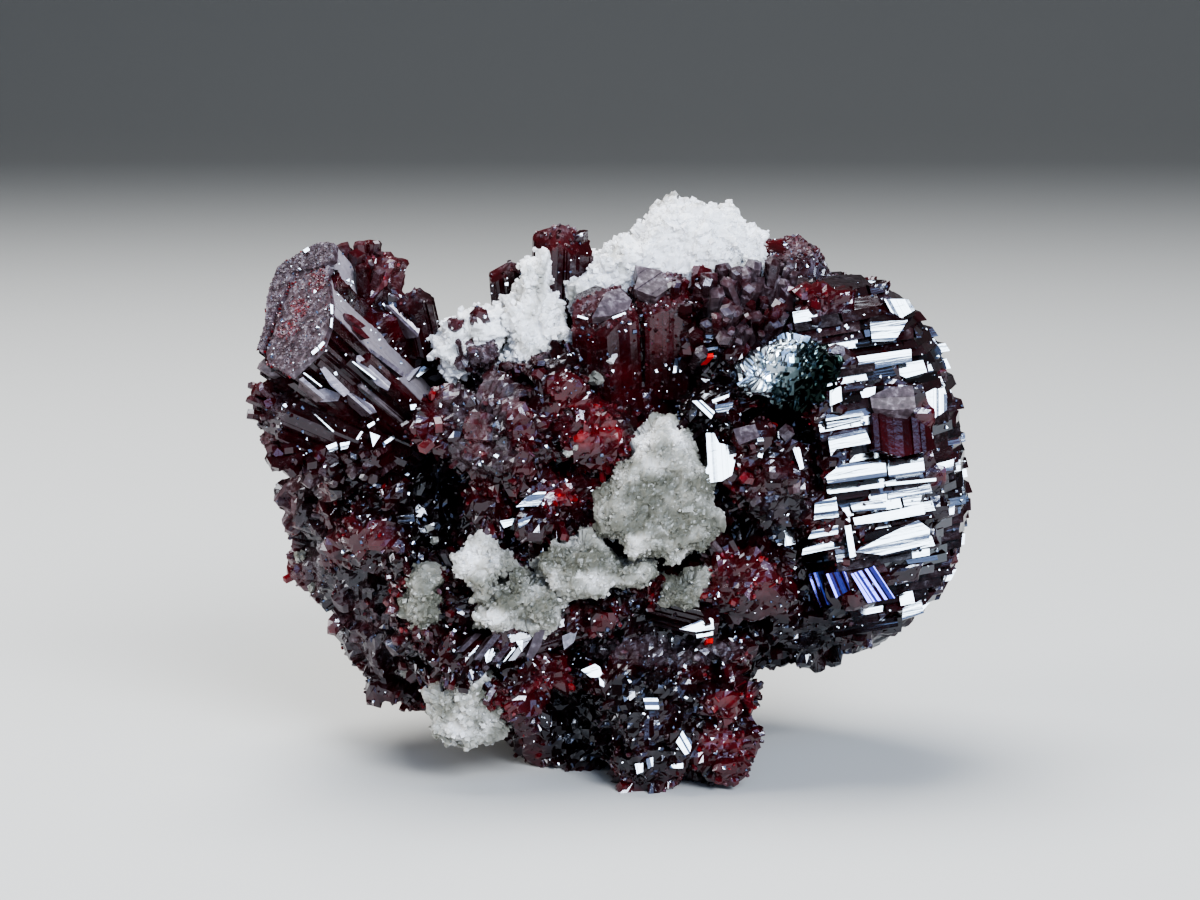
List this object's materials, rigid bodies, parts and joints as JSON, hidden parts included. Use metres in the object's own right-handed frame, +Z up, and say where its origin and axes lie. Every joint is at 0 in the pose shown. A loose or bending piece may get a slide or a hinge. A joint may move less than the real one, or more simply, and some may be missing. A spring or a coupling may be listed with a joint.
{
  "type": "proustite crystal specimen",
  "caption": "Thumbnail mineral specimen: dark red striated proustite crystals grown together, set with white sugary calcite and a grain of acanthite, resting on a flat broken face.",
  "frame": {"origin": "middle of the specimen's box, at the flat broken face it rests on", "axes": "+Z up from the resting face, +X to the right as seen from the front, -Y towards the viewer of the front"},
  "size_m": [0.0202, 0.012, 0.0159],
  "materials": {
    "proustite": "adamantine, striated, partly frosted grey",
    "calcite": "sugary, dull with small glints",
    "acanthite": "metallic, glittering"
  },
  "bodies": {
    "root": {"proustite_mass": "proustite", "calcite_crest_top": "calcite", "calcite_crest_middle": "calcite", "calcite_crest_left": "calcite", "calcite_centre": "calcite", "calcite_below_centre": "calcite", "calcite_right_sliver": "calcite", "calcite_lower_left": "calcite", "calcite_lower_right": "calcite", "calcite_foot_left": "calcite", "calcite_small_grey": "calcite", "calcite_back_upper": "calcite", "calcite_back_lower": "calcite", "acanthite_grain": "acanthite"}
  },
  "joints": []
}
